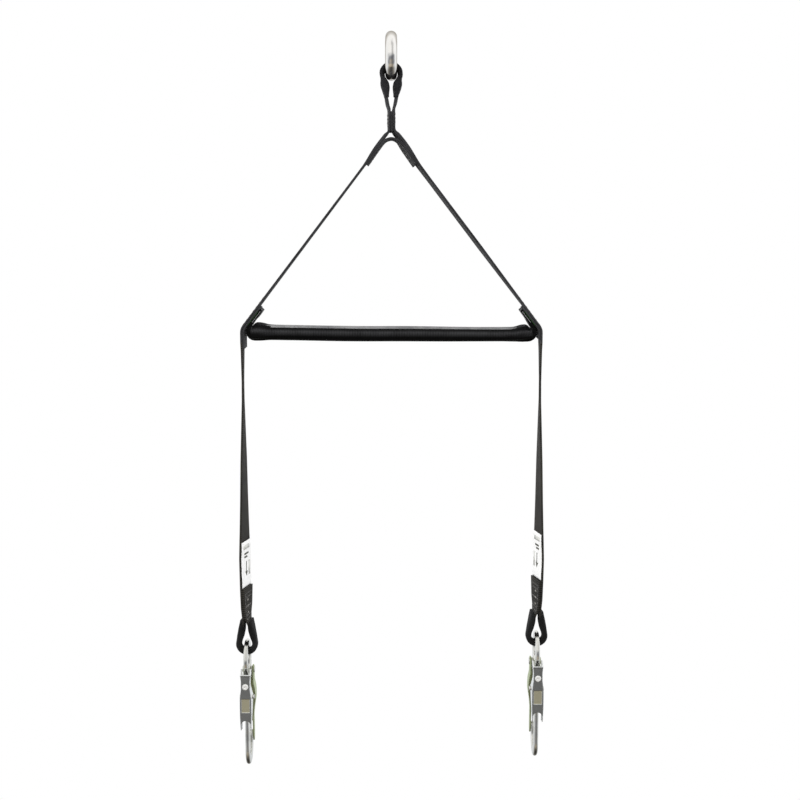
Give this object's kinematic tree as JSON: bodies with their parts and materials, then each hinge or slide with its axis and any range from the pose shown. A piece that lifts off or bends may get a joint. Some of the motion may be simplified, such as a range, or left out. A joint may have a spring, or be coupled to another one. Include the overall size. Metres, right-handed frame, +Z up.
{
  "type": "rescue lifting yoke with spreader bar",
  "caption": "Webbing lifting yoke: a ring above a sewn inverted V, held open by a covered spreader bar, with two hanging legs that end in self-locking snap hooks.",
  "frame": {"origin": "centre of the lifting ring", "axes": "+Z up, +X towards the right leg, +Y away from the hooks' levers, towards their gates"},
  "size_m": [0.3424, 0.0537, 0.786],
  "materials": {
    "ring_steel": "polished",
    "webbing": "woven polyester webbing, charcoal",
    "sleeve": "fine tubular weave, near black",
    "cover": "woven cover, black",
    "tube": "drawn",
    "plug": "moulded",
    "thread": "bonded thread, dark grey",
    "label": "coated woven label, white",
    "hook_zinc": "zinc plated",
    "lever_zinc": "zinc plated, sand-blasted",
    "gate_olive": "zinc plated, olive tint",
    "pin_steel": "bright"
  },
  "bodies": {
    "ring": {"lifting_ring": "ring_steel"},
    "top_loop": {"top_loop_webbing": "webbing", "top_loop_sleeve": "sleeve", "neck_core_ply": "webbing", "neck_stitching": "thread"},
    "yoke": {"crotch_strap": "webbing", "upper_leg_left": "webbing", "upper_leg_right": "webbing", "leg_doubler_left": "webbing", "leg_doubler_right": "webbing", "spreader_tube": "tube", "tube_end_plugs": "plug", "bar_cover": "cover", "bar_end_stitching": "thread"},
    "left_leg": {"lower_leg_left": "webbing", "loop_sleeve_left": "sleeve", "fold_stitching_left": "thread", "label_left": "label"},
    "left_hook": {"hook_body_left": "hook_zinc", "gate_rivet_left": "hook_zinc", "gate_spring_left": "pin_steel", "lock_pin_left": "pin_steel", "lock_spring_left": "pin_steel"},
    "left_gate": {"gate_left": "gate_olive"},
    "left_lever": {"lock_lever_left": "lever_zinc", "lever_rivet_left": "pin_steel"},
    "right_leg": {"lower_leg_right": "webbing", "loop_sleeve_right": "sleeve", "fold_stitching_right": "thread", "label_right": "label"},
    "right_hook": {"hook_body_right": "hook_zinc", "gate_rivet_right": "hook_zinc", "gate_spring_right": "pin_steel", "lock_pin_right": "pin_steel", "lock_spring_right": "pin_steel"},
    "right_gate": {"gate_right": "gate_olive"},
    "right_lever": {"lock_lever_right": "lever_zinc", "lever_rivet_right": "pin_steel"}
  },
  "joints": [
    {"name": "top_loop_sway", "type": "hinge", "parent": "ring", "child": "top_loop", "pos_m": [0, 0, -0.01885], "axis": [0, 1, 0], "range_deg": [-60, 60]},
    {"name": "yoke_sway", "type": "hinge", "parent": "top_loop", "child": "yoke", "pos_m": [0, 0, -0.076], "axis": [0, 1, 0], "range_deg": [-20, 20], "stiffness_Nm_per_rad": 0.3},
    {"name": "left_leg_swing", "type": "hinge", "parent": "yoke", "child": "left_leg", "pos_m": [-0.1569, 0, -0.3025], "axis": [0, 1, 0], "range_deg": [-40, 40], "stiffness_Nm_per_rad": 0.02},
    {"name": "left_hook_swing", "type": "hinge", "parent": "left_leg", "child": "left_hook", "pos_m": [-0.1569, 0, -0.6225], "axis": [0, 1, 0], "range_deg": [-60, 60]},
    {"name": "left_gate_open", "type": "hinge", "parent": "left_hook", "child": "left_gate", "pos_m": [-0.1569, 0.012, -0.6555], "axis": [-1, 0, 0], "range_deg": [0, 15], "stiffness_Nm_per_rad": 0.02, "springref_deg": -11.46},
    {"name": "left_lever_press", "type": "hinge", "parent": "left_hook", "child": "left_lever", "pos_m": [-0.1569, -0.00875, -0.6795], "axis": [1, 0, 0], "range_deg": [0, 9], "stiffness_Nm_per_rad": 0.02, "springref_deg": -5.73},
    {"name": "right_leg_swing", "type": "hinge", "parent": "yoke", "child": "right_leg", "pos_m": [0.1569, 0, -0.3025], "axis": [0, 1, 0], "range_deg": [-40, 40], "stiffness_Nm_per_rad": 0.02},
    {"name": "right_hook_swing", "type": "hinge", "parent": "right_leg", "child": "right_hook", "pos_m": [0.1569, 0, -0.613], "axis": [0, 1, 0], "range_deg": [-60, 60]},
    {"name": "right_gate_open", "type": "hinge", "parent": "right_hook", "child": "right_gate", "pos_m": [0.1569, 0.012, -0.646], "axis": [-1, 0, 0], "range_deg": [0, 15], "stiffness_Nm_per_rad": 0.02, "springref_deg": -11.46},
    {"name": "right_lever_press", "type": "hinge", "parent": "right_hook", "child": "right_lever", "pos_m": [0.1569, -0.00875, -0.67], "axis": [1, 0, 0], "range_deg": [0, 9], "stiffness_Nm_per_rad": 0.02, "springref_deg": -5.73}
  ],
  "couplings": [
    {"joint": "left_lever_press", "follows": "left_gate_open", "ratio": 0.6},
    {"joint": "right_lever_press", "follows": "right_gate_open", "ratio": 0.6}
  ]
}
